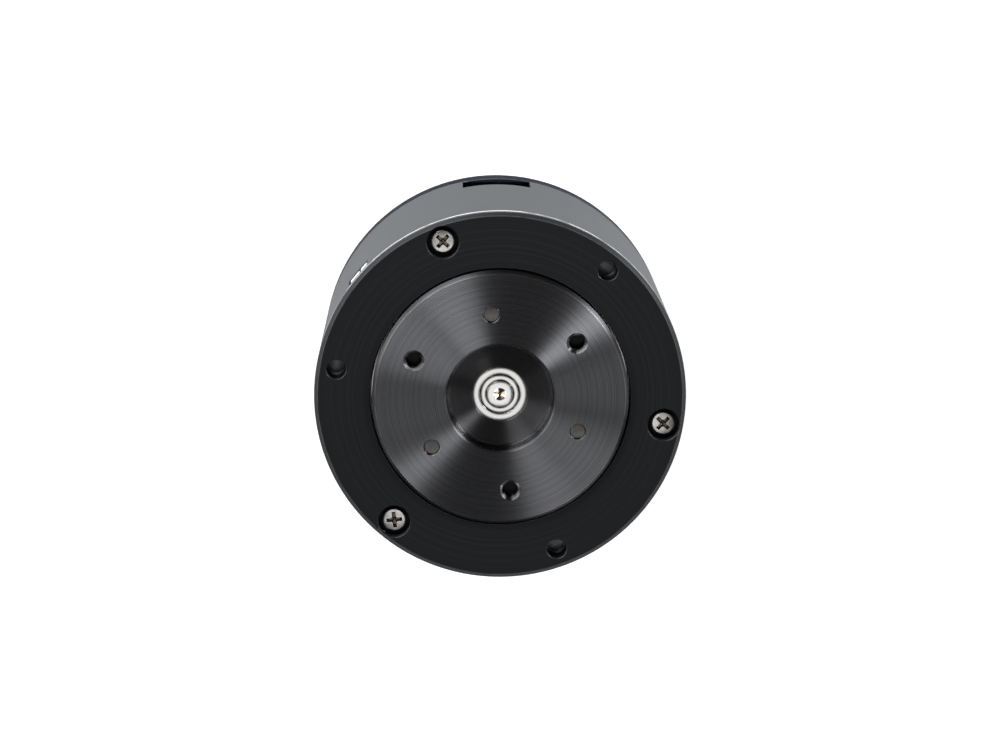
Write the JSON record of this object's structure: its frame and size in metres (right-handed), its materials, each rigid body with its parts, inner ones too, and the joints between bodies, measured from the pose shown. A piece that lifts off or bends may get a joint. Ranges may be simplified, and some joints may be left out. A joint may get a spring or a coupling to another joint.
{
  "type": "robot joint actuator",
  "caption": "Round geared brushless motor unit for a robot joint: turned output disc in a bolted front ring, planetary gearbox, outrunner motor, encoder and driver board in one housing.",
  "frame": {"origin": "centre of the rear face, on which the unit stands", "axes": "+Z along the output axis, out of the output disc; +Y towards the plug slot in the side"},
  "size_m": [0.056, 0.056, 0.047],
  "materials": {
    "housing": "grey anodised, fine turned",
    "cover": "dark blue-grey anodised",
    "plate": "black anodised, satin",
    "flange": "black anodised, turned",
    "screw": "nickel plated",
    "bearing": "ground and polished",
    "shaft": "ground",
    "gear": "hobbed steel",
    "pin": "hardened steel, dull",
    "bush": "bronze",
    "bare_aluminium": "machined",
    "magnet": "nickel plated",
    "flux_steel": "zinc plated",
    "lamination": "coated laminations",
    "copper": "enamelled copper",
    "insulator": "moulded nylon",
    "board": "solder mask",
    "component": "moulded epoxy",
    "connector": "moulded nylon",
    "contact": "gold plated",
    "mark": "moulded"
  },
  "bodies": {
    "housing": {"main_housing": "housing", "index_mark": "mark", "front_plate": "plate", "front_plate_screws": "screw", "rear_cover": "cover", "rear_cover_screws": "screw", "ring_gear": "gear", "ring_gear_dowels": "pin", "output_bearing_outer": "bearing", "rotor_bearing_outer": "bearing", "stator_core": "lamination", "stator_windings": "copper", "stator_insulators": "insulator", "motor_base": "bare_aluminium", "phase_pins": "copper", "base_clip": "flux_steel", "driver_board": "board", "board_parts": "component", "encoder_chip": "component", "power_connector": "connector", "connector_contacts": "contact"},
    "output": {"output_flange": "flange", "carrier_plate": "gear", "carrier_screws": "screw", "planet_pins": "pin", "output_bearing_inner": "bearing", "centre_bearing_outer": "bearing"},
    "rotor": {"rotor_shaft": "shaft", "sun_gear": "gear", "rotor_bell": "bare_aluminium", "flux_ring": "flux_steel", "rotor_magnets": "magnet", "encoder_magnet": "magnet", "bearing_spacer": "flux_steel", "rotor_bearing_inner": "bearing", "centre_bearing_inner": "bearing"},
    "planet_1": {"planet_gear_1": "gear", "planet_bush_1": "bush"},
    "planet_2": {"planet_gear_2": "gear", "planet_bush_2": "bush"},
    "planet_3": {"planet_gear_3": "gear", "planet_bush_3": "bush"}
  },
  "joints": [
    {"name": "rotor_spin", "type": "hinge", "parent": "housing", "child": "rotor", "pos_m": [0, 0, 0.03], "axis": [0, 0, 1], "continuous": true},
    {"name": "output_spin", "type": "hinge", "parent": "housing", "child": "output", "pos_m": [0, 0, 0.04], "axis": [0, 0, 1], "continuous": true},
    {"name": "planet_1_spin", "type": "hinge", "parent": "output", "child": "planet_1", "pos_m": [-0.00133, 0.01268, 0.0346], "axis": [0, 0, 1], "continuous": true},
    {"name": "planet_2_spin", "type": "hinge", "parent": "output", "child": "planet_2", "pos_m": [-0.01031, -0.00749, 0.0346], "axis": [0, 0, 1], "continuous": true},
    {"name": "planet_3_spin", "type": "hinge", "parent": "output", "child": "planet_3", "pos_m": [0.01165, -0.00519, 0.0346], "axis": [0, 0, 1], "continuous": true}
  ],
  "couplings": [
    {"joint": "output_spin", "follows": "rotor_spin", "ratio": 0.17647},
    {"joint": "planet_1_spin", "follows": "rotor_spin", "ratio": -0.4492},
    {"joint": "planet_2_spin", "follows": "rotor_spin", "ratio": -0.4492},
    {"joint": "planet_3_spin", "follows": "rotor_spin", "ratio": -0.4492}
  ]
}
